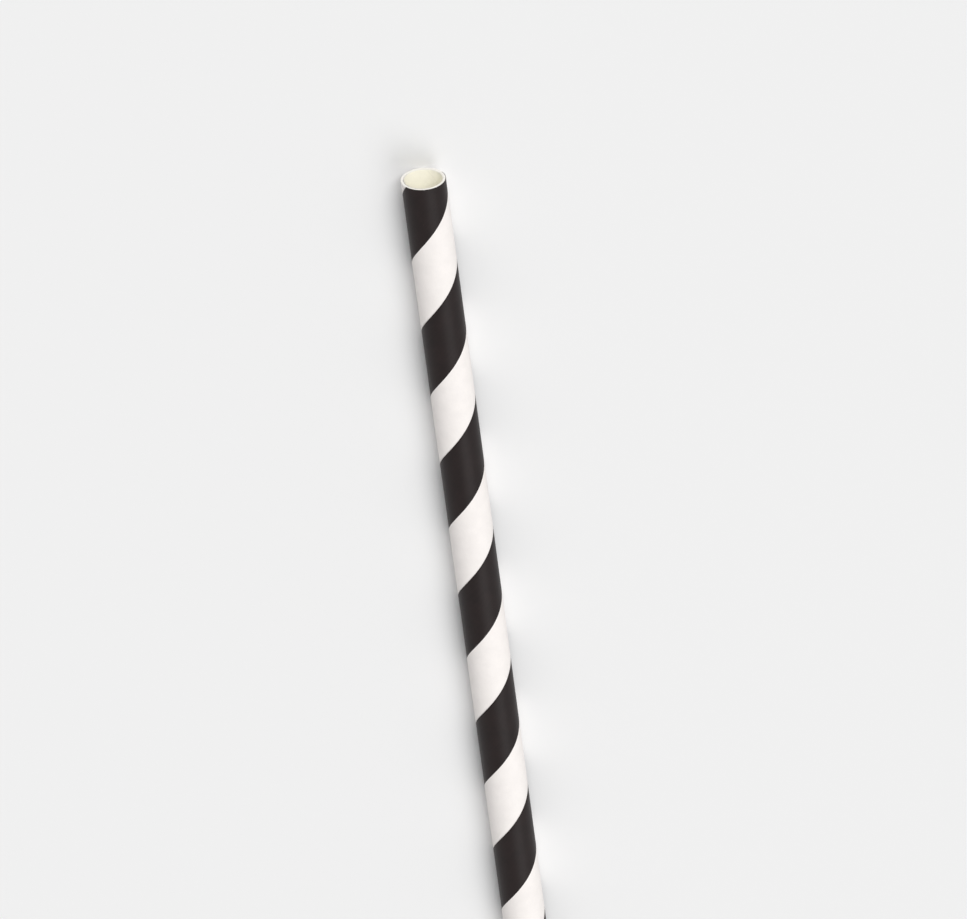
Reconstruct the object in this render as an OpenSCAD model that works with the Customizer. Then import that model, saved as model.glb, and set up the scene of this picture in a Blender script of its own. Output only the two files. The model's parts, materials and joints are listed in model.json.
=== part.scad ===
// Paper drinking straw, lying on its side along X with its lowest line on z = 0.
// The wall is wound from paper strip and glued into one tube. The outermost strip is printed
// black along part of its width, so the print winds round the tube as a helical band.

/* [Tube] */
// Length from cut end to cut end
straw_length = 197; // [140:1:260]
// Outside diameter
outer_d = 6; // [5.5:0.1:12]
// Thickness of the wound wall
wall = 0.45; // [0.3:0.05:0.8]

/* [Outer strip] */
// Width of the outermost strip, which is wound edge to edge
strip_width = 14.1; // [10:0.1:16]
// Share of the strip's width that is printed black
black_share = 0.5; // [0.2:0.05:0.8]
// Depth of the black print in the strip
print_depth = 0.06; // [0.05:0.01:0.15]
// Gap left where one turn of the strip butts against the next
seam_gap = 0.08; // [0.05:0.01:0.3]
// Angle of the strip's seam at the mouth end, from straight down
seam_angle = 125; // [0:5:355]

/* [Hidden] */

// Cuts run this far past the faces that they go through
overshoot = 0.3;
// Steps along one turn of the band's two edges, and the share of a step that is cut off at the mouth
steps_per_turn = 24;
step_phase = 0.25;
// Angle between the corners of the section that is swept along the tube
section_step = 45;
$fn = 64;

outer_r = outer_d / 2;
bore_r = outer_r - wall;
print_r = outer_r - print_depth;
girth = PI * outer_d;

// A strip wound edge to edge covers the girth once a turn, which sets its angle to the axis
wind_angle = acos(strip_width / girth);
// Advance of the strip along the tube in one turn, and in one step of the band's edges
pitch = strip_width / sin(wind_angle);
step_height = pitch / steps_per_turn;

// Angles round the tube that the black print and the seam gap take up
black_sweep = 360 * black_share;
seam_sweep = 360 * seam_gap / strip_width;

// Points of an arc round the axis, from one angle to another
function arc(r, start, end, steps) =
    [for (i = [0:steps]) let (a = start + (end - start) * i / steps) r * [cos(a), sin(a)]];

// Round core of the given radius, right through the tube and out at both ends
module through_core(r) {
    translate([0, 0, -pitch / 4]) cylinder(r = r, h = straw_length + pitch / 2);
}

// Right-hand helical layer that holds the black print, from the given angle after the seam to the
// black's other edge. It is true on the inside, and stands proud of the tube on the outside.
module print_layer(start) {
    // Whole steps from past the mouth to past the other end, so that every turn is alike
    top = straw_length + (1 + step_phase) * step_height;
    slices = ceil((top + overshoot) / step_height);
    height = slices * step_height;
    base = top - height;
    steps = ceil((black_sweep - start) / section_step);
    proud_r = (outer_r + overshoot) / cos((section_step + 360 / steps_per_turn) / 2);
    section = concat(arc(print_r - overshoot, start, black_sweep, steps),
                     arc(proud_r, black_sweep, start, steps));
    difference() {
        translate([0, 0, base]) rotate([0, 0, seam_angle + 360 * (base - straw_length) / pitch])
            linear_extrude(height = height, twist = -360 * height / pitch, slices = slices,
                           segments = len(section))
                polygon(section);
        through_core(print_r);
    }
}

// Lays an upright tube along X, its mouth at the +X end and its lowest line on z = 0
module lie_down() {
    translate([-straw_length / 2, 0, outer_r]) rotate([0, 90, 0]) children();
}

// The wound wall with its unprinted white surface, its bore and the bed of the black print
module paper_tube() {
    color("floralwhite") lie_down() difference() {
        cylinder(r = outer_r, h = straw_length);
        through_core(bore_r);
        print_layer(0);
    }
}

// The black of the outer strip, flush with the wall and short of its bed by the seam gap
module black_band() {
    color([0.16, 0.14, 0.14]) lie_down() intersection() {
        cylinder(r = outer_r, h = straw_length);
        print_layer(seam_sweep);
    }
}

paper_tube();
black_band();
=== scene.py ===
"""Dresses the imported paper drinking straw: wound paper wall, printed black band, plain studio."""

import json
import math

import bpy
import numpy as np
from bpy.props import FloatProperty, FloatVectorProperty, IntProperty, PointerProperty
from bpy.types import Operator, Panel, PropertyGroup
from mathutils import Matrix, Vector


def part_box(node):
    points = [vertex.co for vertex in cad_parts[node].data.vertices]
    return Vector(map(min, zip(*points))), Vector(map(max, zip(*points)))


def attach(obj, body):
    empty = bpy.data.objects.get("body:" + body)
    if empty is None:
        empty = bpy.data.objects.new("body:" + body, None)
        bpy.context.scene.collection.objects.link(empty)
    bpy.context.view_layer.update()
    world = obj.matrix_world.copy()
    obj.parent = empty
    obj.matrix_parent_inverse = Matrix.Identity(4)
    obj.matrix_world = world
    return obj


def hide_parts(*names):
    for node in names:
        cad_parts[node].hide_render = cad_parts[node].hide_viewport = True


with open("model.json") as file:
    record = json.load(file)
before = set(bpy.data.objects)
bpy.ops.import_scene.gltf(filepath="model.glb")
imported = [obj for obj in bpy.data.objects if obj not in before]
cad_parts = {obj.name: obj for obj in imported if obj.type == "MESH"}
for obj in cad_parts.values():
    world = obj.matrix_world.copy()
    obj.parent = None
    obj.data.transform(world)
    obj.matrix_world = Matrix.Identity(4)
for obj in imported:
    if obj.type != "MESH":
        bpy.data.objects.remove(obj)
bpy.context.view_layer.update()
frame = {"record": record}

bl_info = {
    "name": "Paper Drinking Straw",
    "version": (1, 0, 0),
    "blender": (4, 5, 0),
    "location": "View3D > Sidebar > Straw",
    "description": "Builds a wound paper straw with a printed helical band, and a plain studio",
    "category": "Mesh",
}

# One millimetre and one full turn
MM = 0.001
TURN = 2 * math.pi

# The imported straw's own sizes give the defaults
TUBE_LOW, TUBE_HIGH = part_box("paper_tube")
MOUNTS = {mount["name"]: mount["dims"] for mount in frame["record"]["mounts"]}
BORE_RADIUS = MOUNTS["bore"]["r_mm"] * MM

# The picture's size in pixels, the pixel at the middle of the mouth, and pixels per metre there
IMAGE_SIZE = (967, 919)
MOUTH_PIXEL = (423.1, 177.8)
MOUTH_SCALE = 7556.0
# The camera's sensor in millimetres, and how near and far it sees in metres
SENSOR_WIDTH = 36.0
SIGHT = (0.01, 50.0)

# Corners that lie closer than this are one corner
WELD = 1e-9
# Edges where the surface turns by more than this stay sharp
SHARP_EDGE = math.radians(35)

# Seeds of the wavers, and the fewest and most waves in each before it comes again, which is after
# one turn round the straw, or after PRINT_TURNS turns for the print's edge
MOUTH_SEED, FOOT_SEED, CUT_WAVES = 11, 23, (1, 9)
PRINT_SEED, PRINT_WAVES, PRINT_TURNS = 37, (60, 420), 8
GRAIN_SEED, GRAIN_WAVES = 50, (5, 70)
# Waves that add up to a waver, and the least and greatest weight of one
WAVE_COUNT = 9
WAVE_WEIGHTS = (0.4, 1.0)
# The print's edge runs true this near to a cut, and wavers fully at twice the distance
PRINT_TRUE = 1.0 * MM

# Rounds that find where the strip's edges meet the cuts
MEET_ROUNDS = 30
# Lines across a rounded edge in shares of its rounding, and its drop in shares of the same
EDGE_STEPS = np.array([0, 0.3, 0.65, 1.0])
EDGE_DROP = 0.6
# Even lines across a strip's face, and the share of it that they leave to its rounded edge
FACE_LINES = 11
FACE_START = 0.08

# Lines across the layers' cut face, from the outer strip's back to the lip: how far in each lies
# as a share of the wall, its depth in grooves, and its share of the parting beside the seam
LAYER_PLACES = np.array([0.0, 0.04, 0.1, 0.2, 0.3, 0.4, 0.46, 0.52, 0.6, 0.66, 0.72, 0.78, 0.87])
LAYER_GROOVES = np.array([0.0, 1.0, 0.35, 0.0, 0.1, 0.4, 1.0, 0.4, 0.0, 0.1, 2.0, 4.0, 4.0])
LAYER_PARTING = np.array([0.0] * 10 + [0.5, 1.0, 1.0])
# Share of a turn over which the parting fades, and the grain of the cut face in grooves
PARTING_REACH = 0.17
GRAIN_DEPTH = 0.5
# Angles of the lines round the lip, and lines along the bore
LIP_TURN = np.linspace(0.25, 1.0, 4) * math.pi / 2
BORE_LINES = 40

# Places of the paper tube's materials, and of the band's one
WHITE, CUT, CREAM = 0, 1, 2
BLACK = 0

# Places of a colour mix's two inputs and of its result among the node's sockets
MIX_FIRST, MIX_SECOND, MIX_RESULT = 6, 7, 2

# Where the inner layer's seam lies, as a share of the pitch
INNER_SEAM = 0.37
# How far nicks in the print reach from a cut, and from the seam as a share of the pitch
CUT_NICKS = 0.2 * MM
SEAM_NICKS = 0.008
# How much the noise that makes the nicks rises at a cut and at the seam
CUT_RISE = 0.24
SEAM_RISE = 0.18


class StrawTube(PropertyGroup):
    """Sizes of the wound tube and of its cut ends."""

    length: FloatProperty(
        name="Length", description="Length from cut end to cut end",
        default=TUBE_HIGH[0] - TUBE_LOW[0], min=0.05, unit="LENGTH", precision=5)
    outer_radius: FloatProperty(
        name="Outer Radius", description="Radius of the outer strip's surface",
        default=(TUBE_HIGH[2] - TUBE_LOW[2]) / 2, min=0.002, unit="LENGTH", precision=5)
    bore_radius: FloatProperty(
        name="Bore Radius", description="Radius of the open bore",
        default=BORE_RADIUS, min=0.001, unit="LENGTH", precision=5)
    cut_waver: FloatProperty(
        name="Cut Waver", description="How far the knife's cut wanders along the straw",
        default=0.035 * MM, min=0.0, unit="LENGTH", precision=6)
    cut_slant: FloatProperty(
        name="Cut Slant", description="How far the mouth's cut is off square, across the straw",
        default=0.3 * MM, min=0.0, max=0.9 * MM, unit="LENGTH", precision=6)
    ply_groove: FloatProperty(
        name="Ply Groove", description="Depth of the glue lines between the layers on a cut end",
        default=0.02 * MM, min=0.0, unit="LENGTH", precision=6)
    seam_opening: FloatProperty(
        name="Seam Opening", description="How far the innermost layer parts beside the seam",
        default=0.3 * MM, min=0.0, unit="LENGTH", precision=6)
    lip_round: FloatProperty(
        name="Lip Round", description="Rounding of the cut end's inner edge",
        default=0.05 * MM, min=0.0, unit="LENGTH", precision=6)
    columns: IntProperty(
        name="Columns", description="Columns of faces round the straw", default=160, min=24)


class StrawStrip(PropertyGroup):
    """Sizes of the outermost strip and of the black print on it."""

    width: FloatProperty(
        name="Strip Width", description="Width of the outer strip, wound edge to edge",
        default=14.1 * MM, min=0.005, unit="LENGTH", precision=5)
    black_share: FloatProperty(
        name="Black Share", description="Share of the strip's width that is printed black",
        default=0.5, min=0.1, max=0.9, subtype="FACTOR")
    print_depth: FloatProperty(
        name="Print Depth", description="Depth of the black print in the strip",
        default=0.06 * MM, min=0.0, unit="LENGTH", precision=6)
    seam_gap: FloatProperty(
        name="Seam Gap", description="Gap where one turn of the strip meets the next",
        default=0.08 * MM, min=0.0, unit="LENGTH", precision=6)
    seam_angle: FloatProperty(
        name="Seam Angle", description="Angle of the seam at the mouth, from straight down",
        default=math.radians(125), subtype="ANGLE")
    edge_round: FloatProperty(
        name="Edge Round", description="Rounding of the strip's cut edges along the seam",
        default=0.03 * MM, min=0.0, unit="LENGTH", precision=6)
    print_waver: FloatProperty(
        name="Print Waver", description="How far the print's edge wanders across the strip",
        default=0.03 * MM, min=0.0, unit="LENGTH", precision=6)


class StrawFinish(PropertyGroup):
    """Colours and gloss of the paper and the print."""

    white_paper: FloatVectorProperty(
        name="White Paper", description="Colour of the unprinted outside",
        default=(0.88, 0.838, 0.812), size=3, min=0.0, max=1.0, subtype="COLOR")
    cream_paper: FloatVectorProperty(
        name="Cream Paper", description="Colour of the uncoated inside",
        default=(0.985, 0.955, 0.83), size=3, min=0.0, max=1.0, subtype="COLOR")
    cut_paper: FloatVectorProperty(
        name="Cut Paper", description="Colour of the layers' cut edges",
        default=(0.93, 0.905, 0.85), size=3, min=0.0, max=1.0, subtype="COLOR")
    black_print: FloatVectorProperty(
        name="Black Print", description="Colour of the printed ink",
        default=(0.0098, 0.0054, 0.0052), size=3, min=0.0, max=1.0, subtype="COLOR")
    print_gloss: FloatProperty(
        name="Print Gloss", description="Strength of the print's reflection",
        default=0.18, min=0.0, max=1.0, subtype="FACTOR")


class StrawStage(PropertyGroup):
    """Floor, light and camera."""

    floor_colour: FloatVectorProperty(
        name="Floor", description="Colour of the floor",
        default=(0.825, 0.825, 0.825), size=3, min=0.0, max=1.0, subtype="COLOR")
    floor_size: FloatProperty(
        name="Floor Size", description="Side of the square floor",
        default=12.0, min=1.0, unit="LENGTH")
    sky_level: FloatProperty(
        name="Sky Level", description="Light from all round", default=0.38, min=0.0)
    key_level: FloatProperty(
        name="Key Level", description="Light from the key lamp", default=2.0, min=0.0)
    key_from: FloatVectorProperty(
        name="Key From", description="Direction that the key light comes from",
        default=(0.67, -0.18, 0.72), size=3, subtype="DIRECTION")
    side_level: FloatProperty(
        name="Side Level", description="Light from the side lamp", default=0.92, min=0.0)
    side_from: FloatVectorProperty(
        name="Side From", description="Direction that the side light comes from",
        default=(-0.53, -0.38, 0.755), size=3, subtype="DIRECTION")
    lamp_spread: FloatProperty(
        name="Lamp Spread", description="Angle that a lamp spans, which softens its shadows",
        default=math.radians(42), min=0.0, subtype="ANGLE")
    axis_view: FloatProperty(
        name="Axis View", description="Angle between the straw's axis and the line of sight",
        default=math.radians(58.13), subtype="ANGLE")
    lean: FloatProperty(
        name="Lean", description="Lean of the straw in the picture, from upright",
        default=math.radians(7.7), subtype="ANGLE")
    distance: FloatProperty(
        name="Distance", description="Distance from the camera to the mouth",
        default=1.05, min=0.1, unit="LENGTH")


class Winding:
    """The helix that the outer strip follows, and the cut ends that it stops at.

    A place on the strip is an angle that goes on growing from turn to turn, and a share of the
    pitch that is 0 at the strip's white edge and 1 at the next turn's. Its distance along the tube
    is the length, plus the pitch times the turns past the seam at the mouth, plus the pitch times
    the share less one.
    """

    def __init__(self, tube, strip):
        self.tube, self.strip = tube, strip
        self.length, self.outer_r, self.bore_r = tube.length, tube.outer_radius, tube.bore_radius
        self.bed_r = self.outer_r - strip.print_depth
        # A strip wound edge to edge covers the girth once a turn, which sets its angle to the axis
        wind_angle = math.acos(strip.width / (TURN * self.outer_r))
        self.pitch = strip.width / math.sin(wind_angle)
        self.gap_share = strip.seam_gap / strip.width
        self.round_share = strip.edge_round / strip.width
        self.white_share = 1 - strip.black_share
        self.column_angles = self.columns()
        self.ring_angles = np.append(self.column_angles, self.column_angles[0] + TURN)

    def along(self, angle, share):
        """Distance along the tube of a place on the strip."""
        return self.length + self.pitch * ((angle - self.strip.seam_angle) / TURN + share - 1)

    def share_at(self, angle, distance):
        """Share of the pitch at an angle and a distance along the tube."""
        return (distance - self.length) / self.pitch - (angle - self.strip.seam_angle) / TURN + 1

    def mouth_cut(self, angle):
        """Distance of the mouth's cut: the length, less a slant towards -Y and a smooth waver."""
        slant = self.tube.cut_slant * (1 - np.sin(angle)) / 2
        return self.length - slant - self.tube.cut_waver * ripple(angle, MOUTH_SEED, CUT_WAVES)

    def foot_cut(self, angle):
        """Distance of the other end's cut: a waver that goes round smoothly."""
        return self.tube.cut_waver * ripple(angle, FOOT_SEED, CUT_WAVES)

    def print_edge(self, angle):
        """Share at the print's free edge: its even place, with a waver that fades at the ends."""
        middle = self.along(angle, self.white_share)
        from_end = np.minimum(middle, self.length - middle)
        fade = np.clip(from_end / PRINT_TRUE - 1, 0, 1)
        waver = ripple(angle / PRINT_TURNS, PRINT_SEED, PRINT_WAVES) - 0.5
        return self.white_share + self.strip.print_waver / self.strip.width * waver * fade

    def columns(self):
        """Evenly spaced angles, with those where the strip's edges meet the cut ends put in."""
        even = np.arange(self.tube.columns) * TURN / self.tube.columns
        edges = np.array([0.0, self.white_share, 1 - self.gap_share])
        meets = []
        for cut in (self.mouth_cut, self.foot_cut):
            angle = np.zeros_like(edges)
            for _ in range(MEET_ROUNDS):
                turns = (cut(angle) - self.length) / self.pitch + 1 - edges
                angle = self.strip.seam_angle + TURN * turns
            meets.append(angle % TURN)
        return np.sort(np.concatenate([even, *meets]))

    def turns_of_columns(self):
        """The column angles of every turn that any part of the strip reaches, in one row."""
        first = math.floor((self.strip.seam_angle / TURN) - self.length / self.pitch) - 1
        last = math.ceil(self.strip.seam_angle / TURN) + 2
        turns = np.arange(first, last) * TURN
        return (turns[:, None] + self.column_angles[None, :]).ravel()

    def white_radius(self, share):
        """Radius of the white: full, and rounded off towards its edge at the seam."""
        return self.outer_r - self.rounding(share)

    def black_radius(self, share):
        """Radius of the black: full, and rounded off towards its edge at the seam."""
        return self.outer_r - self.rounding(1 - self.gap_share - share)

    def bed_radius(self, share):
        """Radius of the print's bed: the same all over."""
        return np.full_like(share, self.bed_r)

    def rounding(self, from_edge):
        """Drop of a rounded edge: falls with the square of the distance within the rounding."""
        near = np.clip(1 - from_edge / self.round_share, 0, 1)
        return EDGE_DROP * self.strip.edge_round * near ** 2

    def strip_uv(self, angle, share):
        """Unrolled strip: length along it and place across it, both in strip widths."""
        lead = math.atan2(self.pitch, TURN * self.outer_r)
        run = angle * self.outer_r / math.cos(lead) + self.pitch * (share - 1) * math.sin(lead)
        return np.stack([run / self.strip.width, share + 0 * angle], axis=-1)

    def place(self, angle, distance, radius):
        """Point on the lying tube: the angle is from straight down and grows towards +Y."""
        angle, distance, radius = np.broadcast_arrays(angle, distance, radius)
        return np.stack([distance - self.length / 2, radius * np.sin(angle),
                         self.outer_r - radius * np.cos(angle)], axis=-1)


def ripple(angle, seed, waves):
    """Smooth closed waver between 0 and 1: a sum of cosines with whole waves round the circle."""
    draws = np.random.default_rng(seed)
    counts = np.unique(np.linspace(*waves, WAVE_COUNT).round())
    phases = draws.uniform(0, TURN, counts.size)
    weights = draws.uniform(*WAVE_WEIGHTS, counts.size)
    sums = (weights * np.cos(np.asarray(angle)[..., None] * counts + phases)).sum(axis=-1)
    return 0.5 + 0.5 * sums / weights.sum()


class Patches:
    """Grids of points that are welded into one closed mesh."""

    def __init__(self):
        self.corners, self.uvs, self.finishes = [], [], []

    def add(self, points, uv, finish, keep=None):
        """Takes a grid of points, its uv grid and its faces' finish; keep picks faces."""

        def corners(grid):
            """Four corners of each face of a grid, in order round it."""
            return np.stack([grid[:-1, :-1], grid[1:, :-1], grid[1:, 1:], grid[:-1, 1:]], axis=2)

        quads, quad_uvs = corners(points), corners(uv)
        finish = np.broadcast_to(finish, quads.shape[:2])
        keep = np.ones(quads.shape[:2], bool) if keep is None else keep
        self.add_quads(quads[keep], quad_uvs[keep], finish[keep])

    def add_quads(self, quads, quad_uvs, finish):
        """Takes loose quads, the uvs of their corners, and one finish or a finish for each."""
        self.corners.append(quads)
        self.uvs.append(quad_uvs)
        self.finishes.append(np.broadcast_to(finish, quads.shape[:1]))

    def to_object(self, name, materials):
        """Welds the corners, drops faces with no area and makes the object."""
        corners = np.concatenate(self.corners)
        uvs, finishes = np.concatenate(self.uvs), np.concatenate(self.finishes)
        keys = np.round(corners.reshape(-1, 3) / WELD).astype(np.int64)
        _, first, inverse = np.unique(keys, axis=0, return_index=True, return_inverse=True)
        points = corners.reshape(-1, 3)[first]
        quads = inverse.reshape(-1, 4)
        # A corner that is welded to the next one goes, so a quad becomes a triangle or nothing
        new = quads != np.roll(quads, -1, axis=1)
        count = new.sum(axis=1)
        faces, loop_uvs, face_finish = [], [], []
        for sides in (3, 4):
            rows = count == sides
            faces += quads[rows][new[rows]].reshape(-1, sides).tolist()
            loop_uvs.append(uvs[rows][new[rows]].reshape(-1, 2))
            face_finish.append(finishes[rows])
        mesh = bpy.data.meshes.new(name)
        mesh.from_pydata(points.tolist(), [], faces)
        layer = mesh.uv_layers.new(name="Strip")
        layer.data.foreach_set("uv", np.concatenate(loop_uvs).astype(np.float32).ravel())
        for material in materials:
            mesh.materials.append(material)
        mesh.polygons.foreach_set("material_index", np.concatenate(face_finish).astype(np.int32))
        mesh.polygons.foreach_set("use_smooth", np.ones(len(mesh.polygons), bool))
        mesh.set_sharp_from_angle(angle=SHARP_EDGE)
        mesh.update()
        piece = bpy.data.objects.new(name, mesh)
        bpy.context.scene.collection.objects.link(piece)
        return piece


def add_strip(patches, winding, lines, finish):
    """Adds the helical sheet through the given lines and cuts it off at the straw's ends.

    Each line is a function of the angle that gives a share of the pitch, and a function of the
    share that gives a radius. The sheet runs from line to line and along every turn, and what
    lies past a cut is pulled back to it.
    """
    angle = winding.turns_of_columns()
    foot, mouth = winding.foot_cut(angle), winding.mouth_cut(angle)
    points, uvs, past_mouth, past_foot = [], [], [], []
    for share_of, radius_of in lines:
        distance = winding.along(angle, share_of(angle))
        past_mouth.append(distance > mouth - WELD)
        past_foot.append(distance < foot + WELD)
        distance = np.clip(distance, foot, mouth)
        share = winding.share_at(angle, distance)
        points.append(winding.place(angle, distance, radius_of(share)))
        uvs.append(winding.strip_uv(angle, share))

    def whole(flags):
        """Faces that have all four corners flagged."""
        flags = np.stack(flags, axis=1)
        return flags[:-1, :-1] & flags[1:, :-1] & flags[1:, 1:] & flags[:-1, 1:]

    keep = ~(whole(past_mouth) | whole(past_foot))
    patches.add(np.stack(points, axis=1), np.stack(uvs, axis=1), finish, keep)


def add_strip_ends(patches, winding, low, high, radius_of, finish):
    """Adds the cut ends of a strip between two shares: flat rings from its face to its bed."""
    angle = winding.ring_angles
    middle = (angle[1:] + angle[:-1]) / 2

    def sides(row):
        """Values at the two sides of each interval between columns."""
        return np.stack([row[:-1], row[1:]], axis=1)

    def corners(grid):
        """Four corners of each interval's face, in order round it."""
        return np.stack([grid[:, 0, 0], grid[:, 1, 0], grid[:, 1, 1], grid[:, 0, 1]], axis=1)

    for cut, order in ((winding.mouth_cut, 1), (winding.foot_cut, -1)):
        distance = cut(angle)
        at_middle = winding.share_at(middle, cut(middle))
        turn = np.floor(at_middle)
        keep = (at_middle - turn > low) & (at_middle - turn < high)
        # Shares are counted in the interval's own turn, at both of its sides
        share = sides(winding.share_at(angle, distance)) - turn[:, None]
        face = radius_of(np.clip(share, low, high))
        # From face to bed at the mouth and from bed to face at the foot, so both look outwards
        radii = np.stack([face, winding.bed_radius(face)], axis=2)[:, :, ::order]
        angles, reach = (np.stack([sides(row)] * 2, axis=2) for row in (angle, distance))
        points = winding.place(angles, reach, radii)
        uv = np.stack([angles * radii, radii], axis=-1) / winding.strip.width
        patches.add_quads(corners(points)[keep], corners(uv)[keep], finish)


def add_core(patches, winding):
    """Adds the layers' cut faces and the bore: one profile from end to end, carried round the axis.

    The profile goes in from the outer strip's back across the mouth, round the lip, down the bore
    and out again at the other end. Glue lines between the layers are shallow grooves in the cuts.
    The innermost deepens beside the seam, by a bell curve of the share of a turn from it.
    """
    tube, angle = winding.tube, winding.ring_angles
    face_r = winding.bed_r + (winding.bore_r - winding.bed_r) * LAYER_PLACES
    lip_r = winding.bore_r + tube.lip_round * (1 - np.sin(LIP_TURN))
    radius = np.concatenate([face_r, lip_r])
    lip_drop = tube.lip_round * (1 - np.cos(LIP_TURN))
    drop = np.concatenate([LAYER_GROOVES * tube.ply_groove, lip_drop])
    parting = np.concatenate([LAYER_PARTING, 0 * LIP_TURN]) * tube.seam_opening
    grain = np.stack([ripple(angle, GRAIN_SEED + row, GRAIN_WAVES)
                      for row in range(radius.size)], axis=1)
    # The first line is the outer strip's back, which has no grain
    uneven = np.concatenate([[0.0], np.full(radius.size - 1, GRAIN_DEPTH * tube.ply_groove)])

    def sink(cut):
        """How far each line lies behind the cut: its drop, the parting and the grain."""
        share = winding.share_at(angle, cut)
        beside_seam = np.exp(-((share - np.round(share)) / PARTING_REACH) ** 2)
        return drop + parting * beside_seam[:, None] + uneven * grain

    mouth_cut, foot_cut = winding.mouth_cut(angle), winding.foot_cut(angle)
    mouth = mouth_cut[:, None] - sink(mouth_cut)
    foot = foot_cut[:, None] + sink(foot_cut)
    rows = np.linspace(0, 1, BORE_LINES + 2)[None, 1:-1]
    bore = mouth[:, -1:] + (foot[:, -1:] - mouth[:, -1:]) * rows
    distance = np.concatenate([mouth, bore, foot[:, ::-1]], axis=1)
    radii = np.concatenate([radius, np.full(BORE_LINES, winding.bore_r), radius[::-1]])
    points = winding.place(angle[:, None], distance, radii[None, :])
    finish = np.full(distance.shape[1] - 1, CUT)
    finish[radius.size - 1:radius.size + BORE_LINES] = CREAM
    share = winding.share_at(angle[:, None], distance)
    uv = np.stack([angle[:, None] * radii / winding.strip.width, share], axis=-1)
    patches.add(points, uv, finish[None, :])


def paper_tube_patches(winding):
    """The paper tube: white of the outer strip, the print's bed, the cut ends and the bore."""
    patches = Patches()
    white = winding.white_share

    def white_line(part):
        """Line at a part of the white's width, from the seam to the print's edge."""
        return (lambda angle: part * winding.print_edge(angle), winding.white_radius)

    def bed_line(part):
        """Line at a part of the bed's width, from the print's edge to the next turn."""
        return (lambda angle: winding.print_edge(angle) * (1 - part) + part, winding.bed_radius)

    rounding = EDGE_STEPS * winding.round_share / white
    parts = np.concatenate([rounding, np.linspace(FACE_START, 1.0, FACE_LINES)])
    lines = [white_line(part) for part in parts] + [bed_line(part) for part in (0.0, 0.5, 1.0)]
    # The last line is the next turn's white edge, which closes the sheet at the seam
    next_edge = (lambda angle: np.ones_like(angle), lambda share: winding.white_radius(0 * share))
    add_strip(patches, winding, [*lines, next_edge], WHITE)
    add_strip_ends(patches, winding, 0.0, white, winding.white_radius, CUT)
    add_core(patches, winding)
    return patches


def black_band_patches(winding):
    """The black band: a thin helical solid from its face to its back, shut at edges and ends."""
    patches = Patches()
    white, far = winding.white_share, 1 - winding.gap_share

    def line(part, radius_of):
        """Line at a part of the black's width, from the print's edge to the seam."""
        return (lambda angle: winding.print_edge(angle) * (1 - part) + far * part, radius_of)

    rounding = EDGE_STEPS[::-1] * winding.round_share / (far - white)
    parts = np.concatenate([np.linspace(0.0, 1 - FACE_START, FACE_LINES), 1 - rounding])
    lines = [line(part, winding.black_radius) for part in parts]
    lines += [line(part, winding.bed_radius) for part in (1.0, 0.5, 0.0)]
    lines += [line(0.0, winding.black_radius)]
    add_strip(patches, winding, lines, BLACK)
    add_strip_ends(patches, winding, white, far, winding.black_radius, BLACK)
    return patches


def tinted(colour, factor):
    """A colour times a factor, kept below 1."""
    return tuple(min(1.0, channel * factor) for channel in colour)


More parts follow.
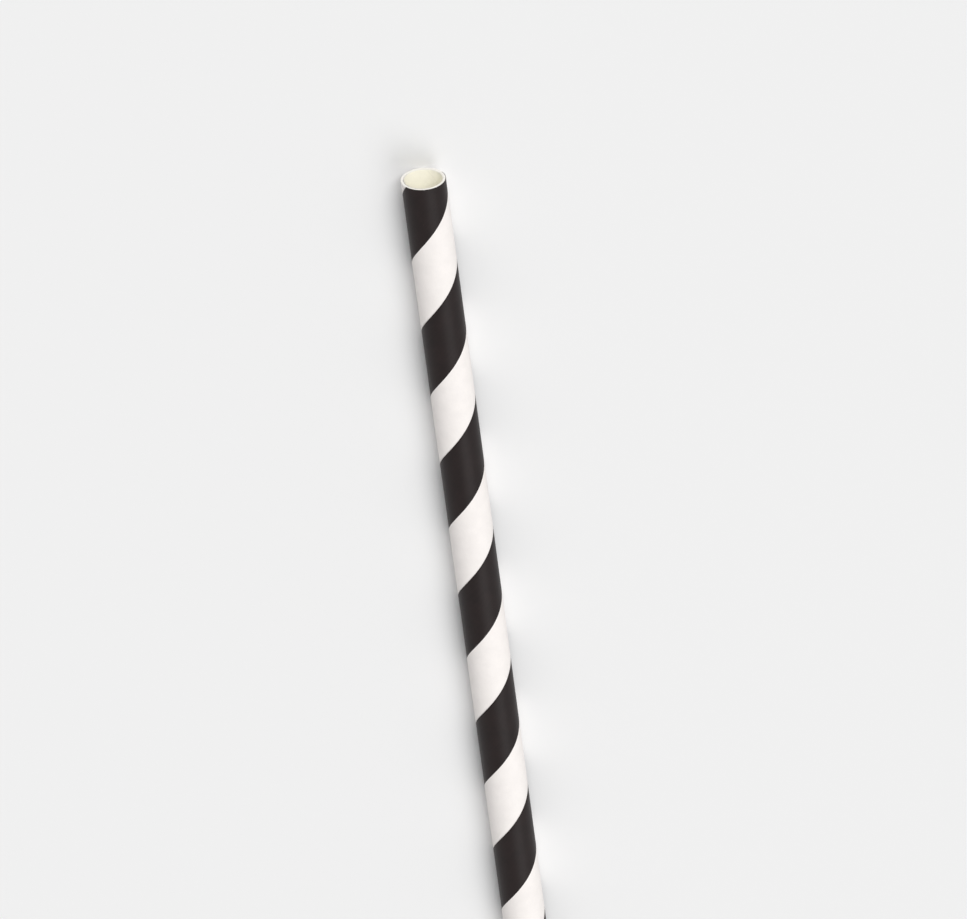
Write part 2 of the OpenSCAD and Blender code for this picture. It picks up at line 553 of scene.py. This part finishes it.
class Finish:
    """A node material under construction, on the piece's own coordinates."""

    def __init__(self, name):
        self.material = bpy.data.materials.new(name)
        self.material.use_nodes = True
        self.nodes, self.links = self.material.node_tree.nodes, self.material.node_tree.links
        self.shader = self.nodes["Principled BSDF"]
        self.place = self.nodes.new("ShaderNodeTexCoord")

    def node(self, kind, settings=None, **inputs):
        """Adds a node; an input is a number, a colour or another node's socket."""
        made = self.nodes.new(kind)
        for name, value in (settings or {}).items():
            setattr(made, name, value)
        for name, value in inputs.items():
            self.feed(made, name.replace("_", " "), value)
        return made

    def feed(self, node, name, value):
        """Sets an input, or links it where the value is a socket."""
        socket = node.inputs[name]
        if isinstance(value, bpy.types.NodeSocket):
            self.links.new(value, socket)
        else:
            socket.default_value = value

    def surface(self, colour, roughness, gloss):
        """Sets the shader's colour, its roughness and the strength of its reflection."""
        self.feed(self.shader, "Base Color", colour)
        self.feed(self.shader, "Roughness", roughness)
        self.feed(self.shader, "Specular IOR Level", gloss)

    def relief(self, height, depth, strength):
        """Bumps of a depth in metres from a height between 0 and 1."""
        bump = self.node("ShaderNodeBump", Height=height, Distance=depth, Strength=strength)
        self.feed(self.shader, "Normal", bump.outputs["Normal"])

    def axis(self, source, name):
        """One number of the piece's own coordinates."""
        return self.node("ShaderNodeSeparateXYZ", Vector=self.place.outputs[source]).outputs[name]

    def noise(self, scale, detail, roughness=0.5, stretch=(1, 1, 1), turn=(0, 0, 0),
              source="Object"):
        """Noise at a number of patches per metre, stretched and turned on the piece."""
        mapping = self.node("ShaderNodeMapping", Vector=self.place.outputs[source], Scale=stretch,
                            Rotation=[math.radians(a) for a in turn])
        return self.node("ShaderNodeTexNoise", Vector=mapping.outputs["Vector"], Scale=scale,
                         Detail=detail, Roughness=roughness).outputs["Fac"]

    def spread(self, value, low, high, to_low, to_high):
        """Stretches the range low to high of a value to another range."""
        return self.node("ShaderNodeMapRange", Value=value, From_Min=low, From_Max=high,
                         To_Min=to_low, To_Max=to_high).outputs["Result"]

    def sum(self, operation, *values):
        """Result of a sum on numbers or sockets."""
        made = self.node("ShaderNodeMath", {"operation": operation})
        for index, value in enumerate(values):
            self.feed(made, index, value)
        return made.outputs["Value"]

    def blend(self, factor, first, second):
        """Mixes two colours by a factor."""
        mix = self.node("ShaderNodeMix", {"data_type": "RGBA"}, Factor=factor)
        for place, colour in ((MIX_FIRST, first), (MIX_SECOND, second)):
            self.feed(mix, place, (*colour, 1) if isinstance(colour, tuple) else colour)
        return mix.outputs[MIX_RESULT]

    def mottled(self, value, low, high, colour, dark, light):
        """A colour that goes from a darker tint to a lighter one over a range of a value."""
        share = self.spread(value, low, high, 0, 1)
        return self.blend(share, tinted(colour, dark), tinted(colour, light))

    def fibres(self):
        """Height of matted paper fibres: fine noise drawn out in two directions that cross."""
        one = self.noise(2200, detail=3, roughness=0.6, stretch=(1, 4, 4), turn=(0, 0, 34))
        other = self.noise(2600, detail=3, roughness=0.6, stretch=(4, 1, 4), turn=(20, 0, -28))
        return self.sum("MULTIPLY_ADD", other, 0.8, one)

    def valleys(self, fibres):
        """Share of shade in the lowest places between the fibres."""
        return self.spread(fibres, 0.85, 0.55, 0, 0.6)

    def felt_roughness(self, fibres, low, high):
        """Roughness that rises from the lowest places between the fibres to their tops."""
        return self.spread(fibres, 0.5, 1.3, low, high)


def white_paper_finish(colours):
    """White outer paper: faint clouds from the pulp, matted fibres with painted shade between them,
    and a dull calendered face.
    """
    finish = Finish("white_outer_paper")
    base = tuple(colours.white_paper)
    clouds = finish.noise(620, detail=3, roughness=0.55)
    fibres = finish.fibres()
    tone = finish.mottled(clouds, 0.35, 0.65, base, dark=0.975, light=1.012)
    # Painted shade: the colour goes darker in the lowest places between the fibres
    tone_with_painted_shade = finish.blend(finish.valleys(fibres), tone, tinted(base, 0.93))
    specks = finish.spread(finish.noise(3400, detail=2, roughness=0.6), 0.66, 0.78, 0, 0.35)
    finish.surface(finish.blend(specks, tone_with_painted_shade, tinted(base, 0.9)),
                   roughness=finish.felt_roughness(fibres, 0.56, 0.72), gloss=0.28)
    finish.relief(fibres, depth=0.018 * MM, strength=0.7)
    return finish.material


def cut_paper_finish(colours):
    """Cut edges of the layers: torn fibre ends, matt, with painted shade between them."""
    finish = Finish("cut_paper_edge")
    fuzz = finish.noise(9000, detail=4, roughness=0.65)
    # Painted shade: the colour goes darker where the fuzz that makes the bumps is low, between the
    # fibre ends
    tone = finish.mottled(fuzz, 0.35, 0.7, tuple(colours.cut_paper), dark=0.86, light=1.03)
    finish.surface(tone, roughness=finish.spread(fuzz, 0.3, 0.7, 0.95, 0.8), gloss=0.15)
    finish.relief(fuzz, depth=0.03 * MM, strength=0.8)
    return finish.material


def cream_paper_finish(colours):
    """Cream inner paper: uncoated, with clouds, painted shade between the fibres and the fine line
    of the inner layer's seam.
    """
    finish = Finish("cream_inner_paper")
    base = tuple(colours.cream_paper)
    clouds = finish.noise(500, detail=3, roughness=0.55)
    fibres = finish.fibres()
    tone = finish.mottled(clouds, 0.35, 0.65, base, dark=0.965, light=1.015)
    # Painted shade: the colour goes darker in the lowest places between the fibres
    tone_with_painted_shade = finish.blend(finish.valleys(fibres), tone, tinted(base, 0.9))
    off_seam = finish.sum("SUBTRACT", finish.sum("FRACT", finish.axis("UV", "Y")), INNER_SEAM)
    seam = finish.spread(finish.sum("ABSOLUTE", off_seam), 0.002, 0.007, 0.22, 0)
    finish.surface(finish.blend(seam, tone_with_painted_shade, tinted(base, 0.72)),
                   roughness=finish.felt_roughness(fibres, 0.68, 0.82), gloss=0.2)
    finish.relief(fibres, depth=0.02 * MM, strength=0.7)
    return finish.material


def edge_nicks(finish, winding):
    """Bare paper where the knife nicked the print: noise that rises near the cuts and the seam."""
    half, slant = winding.length / 2, winding.tube.cut_slant / 2
    along, across = finish.axis("Object", "X"), finish.axis("Object", "Y")
    to_mouth = finish.sum("MULTIPLY_ADD", across, -slant / winding.outer_r, along)
    near_mouth = finish.spread(to_mouth, half - slant - CUT_NICKS, half - slant, 0, CUT_RISE)
    near_foot = finish.spread(along, CUT_NICKS - half, -half, 0, CUT_RISE)
    near_cut = finish.sum("MAXIMUM", near_mouth, near_foot)
    seam = 1 - winding.gap_share
    near_seam = finish.spread(finish.axis("UV", "Y"), seam - SEAM_NICKS, seam, 0, SEAM_RISE)
    near_edge = finish.sum("MAXIMUM", near_cut, near_seam)
    ragged = finish.sum("ADD", finish.noise(3600, detail=4, roughness=0.7), near_edge)
    return finish.spread(ragged, 0.79, 0.89, 0, 0.6)


def pinholes(finish):
    """Rare pinholes in the ink: middles of small cells, where a coarser noise lets them show."""
    cells = finish.node("ShaderNodeTexVoronoi", Vector=finish.place.outputs["Object"], Scale=1500.0)
    middles = finish.spread(cells.outputs["Distance"], 0.025, 0.05, 0.35, 0)
    rare = finish.spread(finish.noise(900, detail=1), 0.64, 0.7, 0, 1)
    return finish.sum("MULTIPLY", middles, rare)


def black_print_finish(colours, winding):
    """Black ink on paper: satin, a little uneven in tone, with rare pinholes and nicked edges."""
    finish = Finish("printed_black_ink")
    clouds = finish.noise(480, detail=4, roughness=0.6)
    streaks = finish.noise(9, detail=2, stretch=(0.35, 9, 1), source="UV")
    fibres = finish.fibres()
    uneven = finish.sum("MULTIPLY_ADD", streaks, 0.5, clouds)
    tone = finish.mottled(uneven, 0.55, 0.95, tuple(colours.black_print), dark=0.8, light=1.3)
    bare = finish.sum("MAXIMUM", pinholes(finish), edge_nicks(finish, winding))
    finish.surface(finish.blend(bare, tone, tuple(colours.white_paper)),
                   roughness=finish.felt_roughness(fibres, 0.42, 0.54), gloss=colours.print_gloss)
    finish.relief(fibres, depth=0.008 * MM, strength=0.5)
    return finish.material


def floor_finish(stage):
    """Plain pale floor: matt, with clouds too faint to read as a pattern."""
    finish = Finish("pale_floor")
    clouds = finish.noise(3, detail=2)
    tone = finish.mottled(clouds, 0.3, 0.7, tuple(stage.floor_colour), dark=0.997, light=1.0)
    finish.surface(tone, roughness=0.95, gloss=0.0)
    return finish.material


class STRAW_OT_stage(Operator):
    """Makes the floor, the light and the camera"""

    bl_idname = "straw.stage"
    bl_label = "Floor, Light and Camera"

    def execute(self, context):
        stage, tube = context.scene.straw_stage, context.scene.straw_tube
        self.make_floor(context, stage)
        self.make_lamps(context, stage)
        self.make_sky(context, stage)
        self.make_camera(context, stage, tube)
        context.scene.view_settings.view_transform = "Standard"
        return {"FINISHED"}

    def make_floor(self, context, stage):
        """Square of four points at height 0."""
        half = stage.floor_size / 2
        corners = half * np.array([[-1, -1, 0], [1, -1, 0], [1, 1, 0], [-1, 1, 0]])
        mesh = bpy.data.meshes.new("floor")
        mesh.from_pydata(corners.tolist(), [], [(0, 1, 2, 3)])
        mesh.materials.append(floor_finish(stage))
        floor = bpy.data.objects.new("floor", mesh)
        context.scene.collection.objects.link(floor)

    def make_lamps(self, context, stage):
        """Two broad lamps that shine from set directions."""
        for name, level, come_from in (("key", stage.key_level, stage.key_from),
                                       ("side", stage.side_level, stage.side_from)):
            light = bpy.data.lights.new(name, "SUN")
            light.energy, light.angle = level, stage.lamp_spread
            lamp = bpy.data.objects.new(name, light)
            lamp.rotation_euler = (-Vector(come_from)).to_track_quat("-Z", "Y").to_euler()
            context.scene.collection.objects.link(lamp)

    def make_sky(self, context, stage):
        """Even pale sky that the camera and reflections see as white."""
        world = bpy.data.worlds.new("sky")
        world.use_nodes = True
        context.scene.world = world
        nodes, links = world.node_tree.nodes, world.node_tree.links
        sky = nodes["Background"]
        sky.inputs["Color"].default_value = (1, 1, 1, 1)
        path = nodes.new("ShaderNodeLightPath")
        seen = path.outputs["Is Camera Ray"]
        for ray in ("Is Glossy Ray", "Is Transmission Ray"):
            either = nodes.new("ShaderNodeMath")
            either.operation = "MAXIMUM"
            links.new(seen, either.inputs[0])
            links.new(path.outputs[ray], either.inputs[1])
            seen = either.outputs["Value"]
        level = nodes.new("ShaderNodeMapRange")
        level.inputs["To Min"].default_value = stage.sky_level
        level.inputs["To Max"].default_value = 1.0
        links.new(seen, level.inputs["Value"])
        links.new(level.outputs["Result"], sky.inputs["Strength"])

    def make_camera(self, context, stage, tube):
        """Looks at the mouth along a line at a set angle to the axis, and puts it at its pixel."""
        toward = Vector((-math.cos(stage.axis_view), 0, -math.sin(stage.axis_view)))
        along = Vector((-math.sin(stage.axis_view), 0, math.cos(stage.axis_view)))
        across = Vector((0, -1, 0))
        right = math.cos(stage.lean) * across + math.sin(stage.lean) * along
        down = math.cos(stage.lean) * along - math.sin(stage.lean) * across
        mouth = Vector((tube.length / 2, 0, tube.outer_radius))
        off_right = (MOUTH_PIXEL[0] - IMAGE_SIZE[0] / 2) / MOUTH_SCALE
        off_down = (MOUTH_PIXEL[1] - IMAGE_SIZE[1] / 2) / MOUTH_SCALE
        lens = bpy.data.cameras.new("camera")
        lens.sensor_width = SENSOR_WIDTH
        lens.lens = SENSOR_WIDTH * MOUTH_SCALE * stage.distance / IMAGE_SIZE[0]
        lens.clip_start, lens.clip_end = SIGHT
        camera = bpy.data.objects.new("camera", lens)
        turn = Matrix((right, -down, -toward)).transposed().to_4x4()
        spot = mouth - right * off_right - down * off_down - toward * stage.distance
        camera.matrix_world = Matrix.Translation(spot) @ turn
        context.scene.collection.objects.link(camera)
        context.scene.camera = camera


class STRAW_OT_paper_tube(Operator):
    """Makes the wound paper tube with its white outside, cut ends and cream bore"""

    bl_idname = "straw.paper_tube"
    bl_label = "Paper Tube"

    def execute(self, context):
        scene = context.scene
        winding = Winding(scene.straw_tube, scene.straw_strip)
        # In the order of WHITE, CUT and CREAM
        materials = [make(scene.straw_finish) for make in (
            white_paper_finish, cut_paper_finish, cream_paper_finish)]
        piece = paper_tube_patches(winding).to_object("wound_paper_tube", materials)
        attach(piece, "root")
        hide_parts("paper_tube")
        return {"FINISHED"}


class STRAW_OT_black_band(Operator):
    """Makes the black printed band that winds round the tube"""

    bl_idname = "straw.black_band"
    bl_label = "Black Band"

    def execute(self, context):
        scene = context.scene
        winding = Winding(scene.straw_tube, scene.straw_strip)
        materials = [black_print_finish(scene.straw_finish, winding)]
        piece = black_band_patches(winding).to_object("printed_black_band", materials)
        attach(piece, "root")
        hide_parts("black_band")
        return {"FINISHED"}


class VIEW3D_PT_straw(Panel):
    """Sizes, finishes and steps of the straw"""

    bl_label = "Paper Straw"
    bl_space_type = "VIEW_3D"
    bl_region_type = "UI"
    bl_category = "Straw"

    def draw(self, context):
        scene, layout = context.scene, self.layout
        for group in GROUPS:
            box = layout.box()
            for name in GROUPS[group].__annotations__:
                box.prop(getattr(scene, group), name)
        for step in STEPS:
            layout.operator(step.bl_idname)


GROUPS = {"straw_tube": StrawTube, "straw_strip": StrawStrip,
          "straw_finish": StrawFinish, "straw_stage": StrawStage}
STEPS = (STRAW_OT_stage, STRAW_OT_paper_tube, STRAW_OT_black_band)


def register():
    """Adds the classes, and one group of settings of each kind to a scene."""
    for item in (*GROUPS.values(), *STEPS, VIEW3D_PT_straw):
        bpy.utils.register_class(item)
    for name, group in GROUPS.items():
        setattr(bpy.types.Scene, name, PointerProperty(type=group))


def unregister():
    """Takes away what register adds, in the opposite order."""
    for name in GROUPS:
        delattr(bpy.types.Scene, name)
    for item in (VIEW3D_PT_straw, *reversed(STEPS), *reversed(GROUPS.values())):
        bpy.utils.unregister_class(item)


def main():
    """Makes the stage and the two pieces."""
    register()
    bpy.ops.straw.stage()
    bpy.ops.straw.paper_tube()
    bpy.ops.straw.black_band()


if __name__ == "__main__":
    main()
